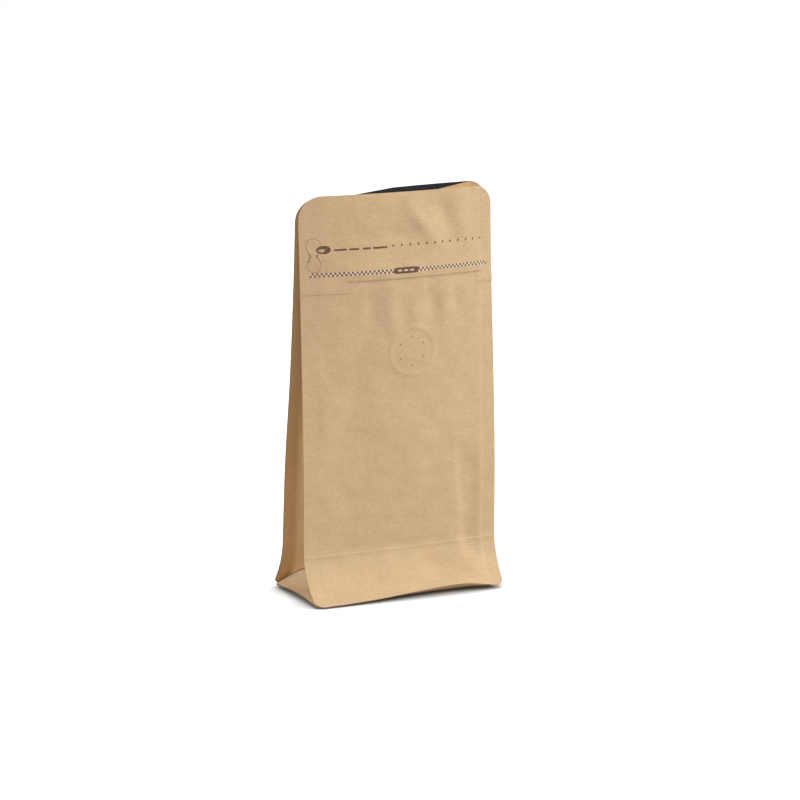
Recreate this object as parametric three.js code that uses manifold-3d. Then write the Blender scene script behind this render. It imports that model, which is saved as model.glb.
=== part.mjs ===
// An empty flat-bottomed coffee bag of kraft laminate, standing open-mouthed on its base.
// Its front and back panels, its two folded side gussets and its base are heat-sealed along
// eight edges into one hollow bag. A degassing valve and a press-to-close zipper are bonded to
// the inner side of the front panel.
//
// Millimetres. +X is to the right of the front panel, +Y runs to the back and +Z up. The origin
// lies on the floor under the middle of the base.

import * as THREE from 'three';
import { mergeVertices } from 'three/addons/utils/BufferGeometryUtils.js';
import Module from 'manifold-3d';

// ---------------------------------------------------------------- driving dimensions

const WIDTH = 135; // front and back panels, edge to edge
const HEIGHT = 265; // panels, measured along the sheet from base edge to mouth
const GUSSET = 75; // whole width of one side gusset
const WALL = 0.6; // thickness of one sheet
const SEAL = 10; // width of the sealed margin where two sheets lie together
const TOP_RADIUS = { left: 15, right: 12 }; // die-cut corners of the mouth
const FOOT_RADIUS = 6; // die-cut corners at the base
const CREASE = 35.5; // height of the fold across the panels above the base
const FLARE = 1.45; // how strongly the panels curve outward under that fold; 1 is flat

// How the empty bag stands, at a few heights along the panels' side edges: where the four
// corners lie from front to back, and how far the two panels bow out between their edges.
const STATIONS = {
  along: [0, CREASE, 90, 150, 213, HEIGHT],
  frontLeft: [-34, -14.5, -14, -11.1, -6.5, -4.2],
  frontRight: [-34, -19.7, -19.1, -16.1, -12.5, -9.6],
  backLeft: [34, 18.8, 14.9, 7, 1.4, -0.9],
  backRight: [34, 20.5, 14.5, 6, 0.8, -1.5],
  frontBow: [1, 2, 3.5, 6, 9.5, 8],
  backBow: [0.5, 2, 3, 3.5, 3, 3],
};
// The mouth isn't quite level: how far its four corners stand over the sheet's own length.
const MOUTH_RISE = { frontLeft: 0.4, frontRight: 0.6, backLeft: -1.8, backRight: 3.6 };

// The base is flat on the floor inside its sealed rim, which curls up all round.
const RIM = 18; // width of the curled rim
// The front edge arches off the floor between its two corners, highest right of the middle.
const FRONT_LIFT = { least: 0.9, most: 6, place: 34, leftSpread: 55, rightSpread: 26 };
const BACK_LIFT = 2;
const SIDE_LIFT = 3.5;
const GUSSET_DIP = 8; // hollow of the gusset's bottom triangle
const FOLD_TUCK = 28; // height where the gusset's middle fold meets that triangle
const FOLD_SAG = 3; // the gusset's fold ends this much below the mouth's edge

const VALVE = {
  across: 6,
  along: 163.6,
  seat: 0.7,
  flangeRadius: 14,
  flange: 1,
  hubRadius: 9.5,
  hub: 3.4,
  lip: 0.8,
};
const ZIPPER = {
  bottom: 203.5,
  top: 233,
  reach: 50,
  tape: 0.5,
  ribs: [208.5, 211.5],
  ribHeight: 1.2,
  ribWidth: 1.4,
  ribSlope: 0.1,
};
const CLEARANCE = 0.3; // between the bonded pieces and the panel's inner face

// A gusset's outer face lies this deep under the panel's in the sealed margin, so the two sheets
// bite by half their thickness. The gusset ends just inside the panel's edge and sits on the
// base's corner, and the base's edge laps the foot of the panels.
const ROOT_DEPTH = 1.5 * WALL;
const LAP = WALL / 2;
const BASE_INSET = 0.1;
const EDGE_GAP = 0.3;
const CORNER_GAP = { across: 1.2, back: 3, up: 0.1 };
const SEAL_LINE = WIDTH / 2 - SEAL;
const LEAST_TUCK = 5; // least depth of a gusset's fold inside its sealed margin
const WELD = 1e-3; // points nearer to one another than this are one point

const CORNER_ROWS = 5;
const SKIRT_ROWS = 3;
const BODY_ROWS = 11;
const PANEL_COLUMNS = 8;
const WING_SHARES = [0, 0.5, 0.94]; // columns of half a gusset, the fold left out
const FOOT_COLUMNS = 6;
const RIM_STEPS = 3;
const FLOOR_STEPS = 2;
const VALVE_SIDES = 32;

const KRAFT = 0xc8a475;
const VALVE_PLASTIC = 0x2b2b2d;
const ZIPPER_PLASTIC = 0x3a3a3c;

// ---------------------------------------------------------------- shape of the standing bag

// Smooth value between the stations, by a cubic through neighbouring ones. The sheet is creased
// at the second station: under it the panels flare out to the base, and over it they start straight.
function station(name, along) {
  const heights = STATIONS.along;
  const values = STATIONS[name];
  const last = heights.length - 1;
  let i = 0;
  while (i < last - 1 && along > heights[i + 1]) i += 1;
  const span = heights[i + 1] - heights[i];
  const t = (along - heights[i]) / span;
  if (i === 0) return values[1] + (values[0] - values[1]) * (1 - t) ** FLARE;
  const slope = (low, high) => (values[high] - values[low]) / (heights[high] - heights[low]);
  const start = i === 1 ? slope(1, 2) : slope(i - 1, i + 1);
  const end = slope(i, Math.min(i + 2, last));
  return (
    values[i] * (1 + 2 * t) * (1 - t) ** 2 +
    start * span * t * (1 - t) ** 2 +
    values[i + 1] * t * t * (3 - 2 * t) +
    end * span * t * t * (t - 1)
  );
}

// Height over the floor that a side edge of the sheet reaches, as it keeps its length.
function edgeHeight(name, along) {
  const steps = 60;
  const step = along / steps;
  let height = 0;
  for (let i = 0; i < steps; i += 1) {
    const move = station(name, (i + 1) * step) - station(name, i * step);
    height += Math.sqrt(Math.max(step * step - move * move, 0));
  }
  return height + MOUTH_RISE[name] * (along / HEIGHT);
}

function frontLift(across) {
  const { least, most, place, leftSpread, rightSpread } = FRONT_LIFT;
  const offset = (across - place) / (across < place ? leftSpread : rightSpread);
  return least + (most - least) * Math.exp(-offset * offset);
}

// The outer face of a panel. side is -1 for the front panel and +1 for the back.
function panelPoint(side, across, along) {
  const [left, right, bowName] =
    side < 0 ? ['frontLeft', 'frontRight', 'frontBow'] : ['backLeft', 'backRight', 'backBow'];
  const share = across / WIDTH + 0.5;
  const bow = station(bowName, along);
  const narrowed = 1 - (8 * bow * bow) / (3 * WIDTH * WIDTH);
  const bulge = bow * (1 - (2 * share - 1) ** 2);
  const footShare = Math.max(0, 1 - along / CREASE) ** 2;
  const lift = side < 0 ? frontLift(across) : BACK_LIFT;
  return new THREE.Vector3(
    across * narrowed,
    station(left, along) * (1 - share) + station(right, along) * share + side * bulge,
    edgeHeight(left, along) * (1 - share) + edgeHeight(right, along) * share + lift * footShare,
  );
}

// Unit normal of a panel, pointing into the bag.
function inward(side, across, along) {
  const reach = 1;
  const low = Math.max(along - reach, 0);
  const high = Math.min(along + reach, HEIGHT);
  const sideways = panelPoint(side, across + reach, along).sub(panelPoint(side, across - reach, along));
  const upward = panelPoint(side, across, high).sub(panelPoint(side, across, low));
  return sideways.cross(upward).multiplyScalar(side).normalize();
}

function insidePanel(side, across, along, depth) {
  return panelPoint(side, across, along).addScaledVector(inward(side, across, along), depth);
}

// How much a rounded corner narrows the sheet, this far into its radius.
function cornerCut(radius, into) {
  return radius - Math.sqrt(Math.max(radius ** 2 - Math.max(0, into) ** 2, 0));
}

// Half the panel's width at a height, on the left (hand -1) or the right (hand 1), narrowed by
// the rounded corners.
function halfWidth(hand, along) {
  const radius = hand < 0 ? TOP_RADIUS.left : TOP_RADIUS.right;
  const top = cornerCut(radius, along - (HEIGHT - radius));
  return WIDTH / 2 - top - cornerCut(FOOT_RADIUS, FOOT_RADIUS - along);
}

// Heights of the rows of every upright sheet: round the lower corners, up to the crease, up the
// body and round the upper corners.
function rowHeights() {
  const quarter = (i) => (Math.PI / 2) * (i / CORNER_ROWS);
  const topRadius = Math.max(TOP_RADIUS.left, TOP_RADIUS.right);
  const topStart = HEIGHT - topRadius;
  const rows = [];
  for (let i = 0; i < CORNER_ROWS; i += 1) rows.push(FOOT_RADIUS * (1 - Math.cos(quarter(i))));
  for (let i = 0; i < SKIRT_ROWS; i += 1) rows.push(FOOT_RADIUS + ((CREASE - FOOT_RADIUS) * i) / SKIRT_ROWS);
  for (let i = 0; i < BODY_ROWS; i += 1) rows.push(CREASE + ((topStart - CREASE) * i) / BODY_ROWS);
  for (let i = 0; i <= CORNER_ROWS; i += 1) rows.push(topStart + topRadius * Math.sin(quarter(i)));
  return rows;
}

const ROWS = rowHeights();

// ---------------------------------------------------------------- solids from sheets

// A closed solid whose outer face is a grid of points, with its inner face a depth under each.
// Points may coincide, where rows or columns run together.
function closedSheet(rowCount, columnCount, pointAt, depthAt) {
  const points = [];
  const depths = [];
  for (let i = 0; i < rowCount; i += 1) {
    for (let j = 0; j < columnCount; j += 1) {
      points.push(...pointAt(i, j).toArray());
      depths.push(depthAt(i, j));
    }
  }
  const quads = [];
  for (let i = 0; i < rowCount - 1; i += 1) {
    for (let j = 0; j < columnCount - 1; j += 1) {
      const corner = i * columnCount + j;
      quads.push([corner, corner + 1, corner + columnCount + 1, corner + columnCount]);
    }
  }
  const grid = new THREE.BufferGeometry();
  grid.setAttribute('position', new THREE.Float32BufferAttribute(points, 3));
  grid.setAttribute('depth', new THREE.Float32BufferAttribute(depths, 1));
  grid.setIndex(quads.flatMap(([a, b, c, d]) => [a, b, c, a, c, d]));
  return thickened(withoutSlivers(mergeVertices(grid, 1e-4)));
}

// Triangles that run-together points have flattened to a line are dropped.
function withoutSlivers(geometry) {
  const index = geometry.index.array;
  const kept = [];
  for (let i = 0; i < index.length; i += 3) {
    const [a, b, c] = index.slice(i, i + 3);
    if (a !== b && b !== c && c !== a) kept.push(a, b, c);
  }
  geometry.setIndex(kept);
  return geometry;
}

// The open face, its copy moved back along the normals, and a wall along the free edges.
function thickened(face) {
  face.computeVertexNormals();
  const { position, normal, depth } = face.attributes;
  const count = position.count;
  const points = Array.from(position.array);
  for (let i = 0; i < count; i += 1) {
    const spot = new THREE.Vector3().fromBufferAttribute(position, i);
    const away = new THREE.Vector3().fromBufferAttribute(normal, i);
    points.push(...spot.addScaledVector(away, -depth.getX(i)).toArray());
  }
  const index = Array.from(face.index.array);
  const triangles = [...index];
  const edges = new Set();
  for (let i = 0; i < index.length; i += 3) {
    const [a, b, c] = index.slice(i, i + 3);
    triangles.push(count + a, count + c, count + b);
    for (const [from, to] of [[a, b], [b, c], [c, a]]) edges.add(`${from} ${to}`);
  }
  for (const edge of edges) {
    const [from, to] = edge.split(' ').map(Number);
    if (edges.has(`${to} ${from}`)) continue;
    triangles.push(from, count + from, count + to, from, count + to, to);
  }
  const geometry = new THREE.BufferGeometry();
  geometry.setAttribute('position', new THREE.Float32BufferAttribute(points, 3));
  geometry.setIndex(triangles);
  return faceOutward(geometry);
}

function signedVolume(geometry) {
  const position = geometry.attributes.position;
  const index = geometry.index.array;
  const corner = (i) => new THREE.Vector3().fromBufferAttribute(position, index[i]);
  let volume = 0;
  for (let i = 0; i < index.length; i += 3) {
    volume += corner(i).dot(corner(i + 1).cross(corner(i + 2))) / 6;
  }
  return volume;
}

function faceOutward(geometry) {
  if (signedVolume(geometry) > 0) return geometry;
  const index = geometry.index.array;
  for (let i = 0; i < index.length; i += 3) [index[i], index[i + 1]] = [index[i + 1], index[i]];
  return geometry;
}

const wasm = await Module();
wasm.setup();

function toManifold(geometry) {
  return new wasm.Manifold(
    new wasm.Mesh({
      numProp: 3,
      vertProperties: new Float32Array(geometry.attributes.position.array),
      triVerts: new Uint32Array(geometry.index.array),
    }),
  );
}

// The largest shell of a solid, without pockets shut in between sheets or loose slivers.
function largestShell(solid) {
  const shell = solid.decompose().reduce((most, next) => (next.volume() > most.volume() ? next : most));
  const mesh = shell.getMesh();
  const geometry = new THREE.BufferGeometry();
  geometry.setAttribute('position', new THREE.BufferAttribute(mesh.vertProperties, 3));
  geometry.setIndex(new THREE.BufferAttribute(mesh.triVerts, 1));
  return geometry;
}

// The sheets joined into one solid. The points that the join leaves almost on one another are
// welded, which parts thin slivers from the shell.
function joined(geometries) {
  let whole = toManifold(geometries[0]);
  for (const geometry of geometries.slice(1)) whole = whole.add(toManifold(geometry));
  const welded = withoutSlivers(mergeVertices(largestShell(whole), WELD));
  return largestShell(toManifold(welded));
}

// ---------------------------------------------------------------- the bag's sheets

// Columns of a panel: its two sealed margins and equal steps between them.
function panelColumns() {
  const columns = [-WIDTH / 2];
  for (let i = 0; i <= PANEL_COLUMNS; i += 1) columns.push(SEAL_LINE * ((2 * i) / PANEL_COLUMNS - 1));
  columns.push(WIDTH / 2);
  return columns;
}

function panel(side) {
  const columns = panelColumns().map((across) => -side * across);
  const point = (i, j) => {
    const limit = halfWidth(Math.sign(columns[j]), ROWS[i]);
    return panelPoint(side, Math.max(-limit, Math.min(limit, columns[j])), ROWS[i]);
  };
  return closedSheet(ROWS.length, columns.length, point, () => WALL);
}

// The foot corner of a gusset, just inside the base's rounded corner.
function gussetCorner(side, hand) {
  const across = hand * (WIDTH / 2 - CORNER_GAP.across);
  const back = panelPoint(side, across, 0).y - side * CORNER_GAP.back;
  return new THREE.Vector3(across, back, baseHeight(across, back) + WALL + CORNER_GAP.up);
}

// Where a gusset leaves the sealed margin of a panel. Near the base it does so on a diagonal.
function sealLine(hand, along) {
  if (along >= SEAL) return SEAL_LINE;
  return halfWidth(hand, along) - EDGE_GAP - along;
}

function gussetRoot(side, hand, along) {
  return insidePanel(side, hand * sealLine(hand, along), along, ROOT_DEPTH);
}

// The middle fold of a gusset. Above the crease it lies as deep as the free width of the
// half gusset allows; below it, the gusset turns outward along a diagonal to each corner.
function foldPoint(hand, along) {
  const front = gussetRoot(-1, hand, along);
  const back = gussetRoot(1, hand, along);
  const free = GUSSET / 2 - SEAL;
  const opening = (back.y - front.y) / 2;
  const depth = Math.sqrt(Math.max(free ** 2 - opening ** 2, LEAST_TUCK ** 2));
  const middle = front.clone().add(back).multiplyScalar(0.5);
  const share = (along - CREASE) / (HEIGHT - CREASE);
  const drop = (middle.z - FOLD_TUCK) * (1 - share) ** 2 + FOLD_SAG * share;
  return new THREE.Vector3(middle.x - hand * depth, middle.y, middle.z - drop);
}

function gussetEnd(side, hand, along) {
  if (along >= CREASE) return foldPoint(hand, along);
  return gussetCorner(side, hand).lerp(foldPoint(hand, CREASE), along / CREASE);
}

// One row of half a gusset: across the sealed margin, then to the fold. The mouth's rounded
// corner cuts it short.
function halfGussetRow(side, hand, along) {
  const limit = halfWidth(hand, along) - EDGE_GAP;
  const root = gussetRoot(side, hand, along);
  const end = gussetEnd(side, hand, along);
  const past = sealLine(hand, along) - limit;
  if (past > 0) root.lerp(end, past / Math.abs(root.x - end.x));
  const edge = past > 0 ? root.clone() : insidePanel(side, hand * limit, along, ROOT_DEPTH);
  return [edge, ...WING_SHARES.map((share) => root.clone().lerp(end, share))];
}

// The bottom triangle of a gusset, between its two diagonals. It starts on the arched short edge
// of the base, and its middle is hollow.
function footPoint(hand, along, share) {
  const point = gussetEnd(-1, hand, along).lerp(gussetEnd(1, hand, along), share);
  const rise = along / CREASE;
  if (rise >= 1) return point;
  const edge = gussetCorner(-1, hand).lerp(gussetCorner(1, hand), share);
  const arch = baseHeight(edge.x, edge.y) + WALL + CORNER_GAP.up - edge.z;
  const dip = 4 * share * (1 - share) * GUSSET_DIP * Math.sin(Math.PI * rise);
  point.z += arch * (1 - rise) - dip;
  return point;
}

// A whole gusset: its front half to the fold, the bottom triangle, which runs together into the
// fold above the crease, and its back half.
function gusset(hand) {
  const rows = ROWS.map((along) => {
    const foot = [];
    for (let k = 0; k <= FOOT_COLUMNS; k += 1) foot.push(footPoint(hand, along, k / FOOT_COLUMNS));
    const row = [...halfGussetRow(-1, hand, along), ...foot, ...halfGussetRow(1, hand, along).reverse()];
    return hand > 0 ? row : row.reverse();
  });
  const middle = (rows[0].length - 1) / 2;
  const isFold = (i, j) => Math.abs(j - middle) <= FOOT_COLUMNS / 2 && ROWS[i] >= CREASE;
  return closedSheet(
    rows.length,
    rows[0].length,
    (i, j) => rows[i][j],
    (i, j) => (isFold(i, j) ? 2 * WALL : WALL),
  );
}

// ---------------------------------------------------------------- the base

// Height of the base's lower face over the floor, curled up along its four edges.
function baseHeight(across, back) {
  const curl = (distance) => 0.5 + 0.5 * Math.cos(Math.PI * Math.min(1, Math.max(0, distance / RIM)));
  const front = curl(back - panelPoint(-1, across, 0).y) * (frontLift(across) - LAP);
  const rear = curl(panelPoint(1, across, 0).y - back) * (BACK_LIFT - LAP);
  const middle = Math.max(0, 1 - (back / panelPoint(1, 0, 0).y) ** 2);
  return front + rear + curl(WIDTH / 2 - Math.abs(across)) * SIDE_LIFT * middle;
}

// Distances of the base's rows or columns from one edge to the other: round the corner, over the
// curled rim, across the floor and the same again.
function baseSteps(length) {
  const steps = [];
  for (let i = 0; i < CORNER_ROWS; i += 1) {
    steps.push(FOOT_RADIUS * (1 - Math.cos((Math.PI / 2) * (i / CORNER_ROWS))));
  }
  for (let i = 0; i < RIM_STEPS; i += 1) steps.push(FOOT_RADIUS + ((RIM - FOOT_RADIUS) * i) / RIM_STEPS);
  const mirrored = steps.map((step) => length - step).reverse();
  for (let i = 0; i <= FLOOR_STEPS; i += 1) steps.push(RIM + ((length - 2 * RIM) * i) / FLOOR_STEPS);
  return [...steps, ...mirrored];
}

function base() {
  const depth = panelPoint(1, 0, 0).y - panelPoint(-1, 0, 0).y;
  const rows = baseSteps(depth);
  const columns = baseSteps(WIDTH).map((step) => WIDTH / 2 - step);
  const lower = (i, j) => {
    const limit = halfWidth(1, Math.min(rows[i], depth - rows[i])) - EDGE_GAP;
    const across = Math.max(-limit, Math.min(limit, columns[j]));
    const front = panelPoint(-1, across, 0).y + BASE_INSET;
    const back = panelPoint(1, across, 0).y - BASE_INSET;
    const place = front + ((back - front) * rows[i]) / depth;
    return new THREE.Vector3(across, place, baseHeight(across, place));
  };
  return closedSheet(rows.length, columns.length, lower, () => WALL);
}

// ---------------------------------------------------------------- valve and zipper

// A flanged disc whose hub, with a shallow cup, stands into the bag.
function valve() {
  const { flangeRadius, flange, hubRadius, hub, lip } = VALVE;
  const profile = [
    [0, 0],
    [flangeRadius, 0],
    [flangeRadius, flange],
    [hubRadius, flange],
    [hubRadius, hub],
    [hubRadius - 2 * lip, hub],
    [hubRadius - 2 * lip, hub - lip],
    [0, hub - lip],
  ].map(([radius, rise]) => new THREE.Vector2(radius, rise));
  return new THREE.LatheGeometry(profile, VALVE_SIDES);
}

function placeValve(mesh) {
  const { across, along, seat } = VALVE;
  mesh.position.copy(insidePanel(-1, across, along, WALL + seat));
  mesh.quaternion.setFromUnitVectors(new THREE.Vector3(0, 1, 0), inward(-1, across, along));
}

// A tape along the inner side of the front panel, with two ribs that press together.
function zipper() {
  const { bottom, top, reach, tape, ribs, ribHeight, ribWidth, ribSlope } = ZIPPER;
  const rows = [{ along: bottom, thick: tape }];
  for (const rib of ribs) {
    const foot = ribWidth / 2;
    const crest = foot - ribSlope;
    rows.push({ along: rib - foot, thick: tape }, { along: rib - crest, thick: tape + ribHeight });
    rows.push({ along: rib + crest, thick: tape + ribHeight }, { along: rib + foot, thick: tape });
  }
  rows.push({ along: (rows.at(-1).along + top) / 2, thick: tape }, { along: top, thick: tape });
  const columns = [-reach, ...panelColumns().filter((across) => Math.abs(across) < reach), reach];
  const seat = WALL + CLEARANCE;
  return closedSheet(
    rows.length,
    columns.length,
    (i, j) => insidePanel(-1, columns[j], rows[i].along, seat),
    (i, j) => rows[i].thick,
  );
}

// ---------------------------------------------------------------- finished meshes

function standard(color, roughness) {
  return new THREE.MeshStandardMaterial({ color, roughness, metalness: 0 });
}

function named(name, geometry, material) {
  const mesh = new THREE.Mesh(geometry, material);
  mesh.name = name;
  return mesh;
}

const sheets = [panel(-1), panel(1), base(), gusset(-1), gusset(1)];

const valveMesh = named('valve', valve(), standard(VALVE_PLASTIC, 0.4));
placeValve(valveMesh);

const group = new THREE.Group();
group.add(named('bag', joined(sheets), standard(KRAFT, 0.75)));
group.add(valveMesh);
group.add(named('zipper', zipper(), standard(ZIPPER_PLASTIC, 0.45)));

export default group;
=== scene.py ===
import math

import bpy
import numpy as np
from mathutils import Matrix, Vector


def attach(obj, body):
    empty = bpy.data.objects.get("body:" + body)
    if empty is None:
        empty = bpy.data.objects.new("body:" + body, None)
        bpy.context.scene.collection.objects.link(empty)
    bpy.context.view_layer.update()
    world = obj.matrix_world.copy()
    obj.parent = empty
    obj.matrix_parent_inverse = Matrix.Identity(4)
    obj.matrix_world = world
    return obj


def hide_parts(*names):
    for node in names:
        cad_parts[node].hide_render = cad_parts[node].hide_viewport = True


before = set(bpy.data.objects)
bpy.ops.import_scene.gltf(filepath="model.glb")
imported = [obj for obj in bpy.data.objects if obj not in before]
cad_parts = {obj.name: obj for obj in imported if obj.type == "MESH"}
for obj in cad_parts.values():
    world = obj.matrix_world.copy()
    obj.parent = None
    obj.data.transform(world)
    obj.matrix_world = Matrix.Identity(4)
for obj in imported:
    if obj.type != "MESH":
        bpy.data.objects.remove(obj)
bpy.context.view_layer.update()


# ------------------------------------------------------------------ front panel
# A sheet of brown kraft paper over black film, cut with round corners, creased near its foot and
# heat-sealed to both gussets and to the base. It carries the printing and the tear tab's die-cut
# line, and the valve and zipper bonded behind it show through as low relief.

# A place on a panel is given in millimetres, across from its middle and along it from its foot.
# The panels stand on the base and lean together from the crease up, as the frame has them.

MM = 0.001
WIDTH = 135.0
HEIGHT = 265.0
CREASE = 35.5
FLARE = 1.45
SEAL = 10.0
SEAL_LINE = WIDTH / 2 - SEAL
SHEET = 0.3
TOP_RADIUS = {-1: 15.0, 1: 12.0}
FOOT_RADIUS = 6.0
LEVELS = (0, CREASE, 90, 150, 213, HEIGHT)
FINE = np.linspace(0, HEIGHT, 531)
PANELS = {}


def between_levels(values, along):
    """Value between the levels, smooth but for the crease at the second one."""
    last = len(LEVELS) - 1
    i = 0
    while i < last - 1 and along > LEVELS[i + 1]:
        i += 1
    span = LEVELS[i + 1] - LEVELS[i]
    t = (along - LEVELS[i]) / span
    if i == 0:
        return values[1] + (values[0] - values[1]) * (1 - t) ** FLARE

    def slope(low, high):
        return (values[high] - values[low]) / (LEVELS[high] - LEVELS[low])

    start = slope(1, 2) if i == 1 else slope(i - 1, i + 1)
    end = slope(i, min(i + 2, last))
    rest = values[i] * (1 + 2 * t) * (1 - t) ** 2 + values[i + 1] * t * t * (3 - 2 * t)
    return rest + start * span * t * (1 - t) ** 2 + end * span * t * t * (t - 1)


def panel_shape(places, rises, bow, foot_lift, mouth_dip):
    """A panel's side edges and bow at each fine step, and its foot's arch and mouth's dip."""
    shape = {"foot_lift": foot_lift, "mouth_dip": mouth_dip}
    shape["bow"] = np.array([between_levels(bow, along) for along in FINE])
    for edge in ("left", "right"):
        place = np.array([between_levels(places[edge], along) for along in FINE])
        climb = np.sqrt(np.maximum(np.diff(FINE) ** 2 - np.diff(place) ** 2, 0))
        shape[edge] = place
        shape[edge + "_height"] = np.concatenate([[0], np.cumsum(climb)]) + rises[edge] * FINE / HEIGHT
    return shape


def front_lift(across):
    """How far the front panel's foot arches off the floor, most of all right of its middle."""
    least, most, place = 0.9, 6.0, 34.0
    left_spread, right_spread = 55.0, 26.0
    spread = np.where(np.asarray(across) < place, left_spread, right_spread)
    return least + (most - least) * np.exp(-(((across - place) / spread) ** 2))


PANELS[-1] = panel_shape(
    places={"left": (-34, -14.5, -14, -11.1, -6.4, -3.6), "right": (-34, -19.7, -19.1, -16.1, -12.5, -9.6)},
    rises={"left": 0.4, "right": 0.6},
    bow=(1, 2, 3.5, 6, 9.5, 8),
    foot_lift=front_lift,
    mouth_dip=lambda across, along: 0.0,
)


def panel_point(side, across, along):
    """Outer face of the front panel (side -1) or the back panel (side 1), in millimetres."""
    across, along = np.broadcast_arrays(np.asarray(across, float), np.asarray(along, float))
    shape = PANELS[side]
    share = across / WIDTH + 0.5

    def between_edges(ending):
        left = np.interp(along, FINE, shape["left" + ending])
        right = np.interp(along, FINE, shape["right" + ending])
        return left * (1 - share) + right * share

    bow = np.interp(along, FINE, shape["bow"])
    narrowed = 1 - 8 * bow ** 2 / (3 * WIDTH ** 2)
    foot = np.maximum(0, 1 - along / CREASE) ** 2
    place = between_edges("") + side * bow * (1 - (2 * share - 1) ** 2)
    height = between_edges("_height") + shape["foot_lift"](across) * foot
    height = height - shape["mouth_dip"](across, along)
    return np.stack([across * narrowed, place, height], -1)


def inward(side, across, along):
    """Unit normal of a panel, pointing into the bag."""
    low = np.maximum(np.asarray(along, float) - 1, 0)
    high = np.minimum(np.asarray(along, float) + 1, HEIGHT)
    sideways = panel_point(side, across + 1.0, along) - panel_point(side, across - 1.0, along)
    upward = panel_point(side, across, high) - panel_point(side, across, low)
    normal = np.cross(sideways, upward) * side
    return normal / np.linalg.norm(normal, axis=-1, keepdims=True)


def half_width(hand, along):
    """A sheet's width left (hand -1) or right (hand 1) of its middle, less at its round corners."""
    radius = TOP_RADIUS[hand]
    into_top = np.clip(along - (HEIGHT - radius), 0, radius)
    into_foot = np.clip(FOOT_RADIUS - along, 0, FOOT_RADIUS)
    top = radius - np.sqrt(radius ** 2 - into_top ** 2)
    return WIDTH / 2 - top - (FOOT_RADIUS - np.sqrt(FOOT_RADIUS ** 2 - into_foot ** 2))


def sheet_rows(step):
    """Places along a sheet: close together round its corners and even between them."""
    quarter = np.linspace(0, math.pi / 2, 13)
    corner = HEIGHT - TOP_RADIUS[-1]
    low = FOOT_RADIUS * (1 - np.cos(quarter))
    high = corner + TOP_RADIUS[-1] * np.sin(quarter)
    below = np.linspace(FOOT_RADIUS, CREASE, round((CREASE - FOOT_RADIUS) / step) + 1)
    above = np.linspace(CREASE, corner, round((corner - CREASE) / step) + 1)
    return np.unique(np.concatenate([low, below, above, high]).round(4))


def smooth_step(value, low, high):
    """Rises from 0 at the low value to 1 at the high one."""
    t = np.clip((value - low) / (high - low), 0, 1)
    return t * t * (3 - 2 * t)


def bump(across, along, place, size, turn):
    """A soft round or long rise of height 1, turned anticlockwise by some degrees."""
    angle = math.radians(turn)
    x = across - place[0]
    y = along - place[1]
    u = (x * math.cos(angle) + y * math.sin(angle)) / size[0]
    v = (y * math.cos(angle) - x * math.sin(angle)) / size[1]
    return np.exp(-(u ** 2 + v ** 2))


def ridge(value, place, reach):
    """A long soft rise of height 1 along a line."""
    return np.exp(-(((value - place) / reach) ** 2))


def cockle(across, along, seed, waves, height, wavelengths):
    """The soft unevenness of handled paper: a seeded sum of plane waves."""
    chance = np.random.default_rng(seed)
    total = np.zeros(np.broadcast(across, along).shape)
    for _ in range(waves):
        angle = chance.uniform(0, math.pi)
        wavelength = chance.uniform(*wavelengths)
        phase = chance.uniform(0, 2 * math.pi)
        travelled = across * math.cos(angle) + along * math.sin(angle)
        total += np.sin(2 * math.pi * travelled / wavelength + phase)
    return height * total / math.sqrt(waves)


VALVE_PLACE = (6.2, 163.6)
VALVE_RING = 15.3

# Dents and swellings: height, place across and along, half size across and along, and turn.
FRONT_DENTS = (
    (-0.9, (-21, 192), (6, 15), -8),
    (0.6, (-8, 190), (5, 16), 4),
    (-0.8, (20, 195), (5, 11), 8),
    (0.6, (30, 190), (5, 14), 0),
    (-0.7, (40, 193), (6, 12), 0),
    (0.5, (8, 185), (5, 14), 0),
    (-1.5, (31, 249), (7, 12), 20),
    (1.2, (14, 244), (5, 16), 38),
    (-0.6, (-2, 238), (10, 6), 10),
    (0.5, (44, 240), (6, 16), 0),
    (-1.2, (25, 19), (12, 7), 8),
    (1.1, (47, 15), (11, 8), 0),
    (0.5, (-10, 24), (28, 9), -4),
    (-0.5, (-35, 120), (10, 60), -6),
    (0.6, (0, 110), (22, 50), 0),
)
DENT_STRENGTH = 1.4


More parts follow.
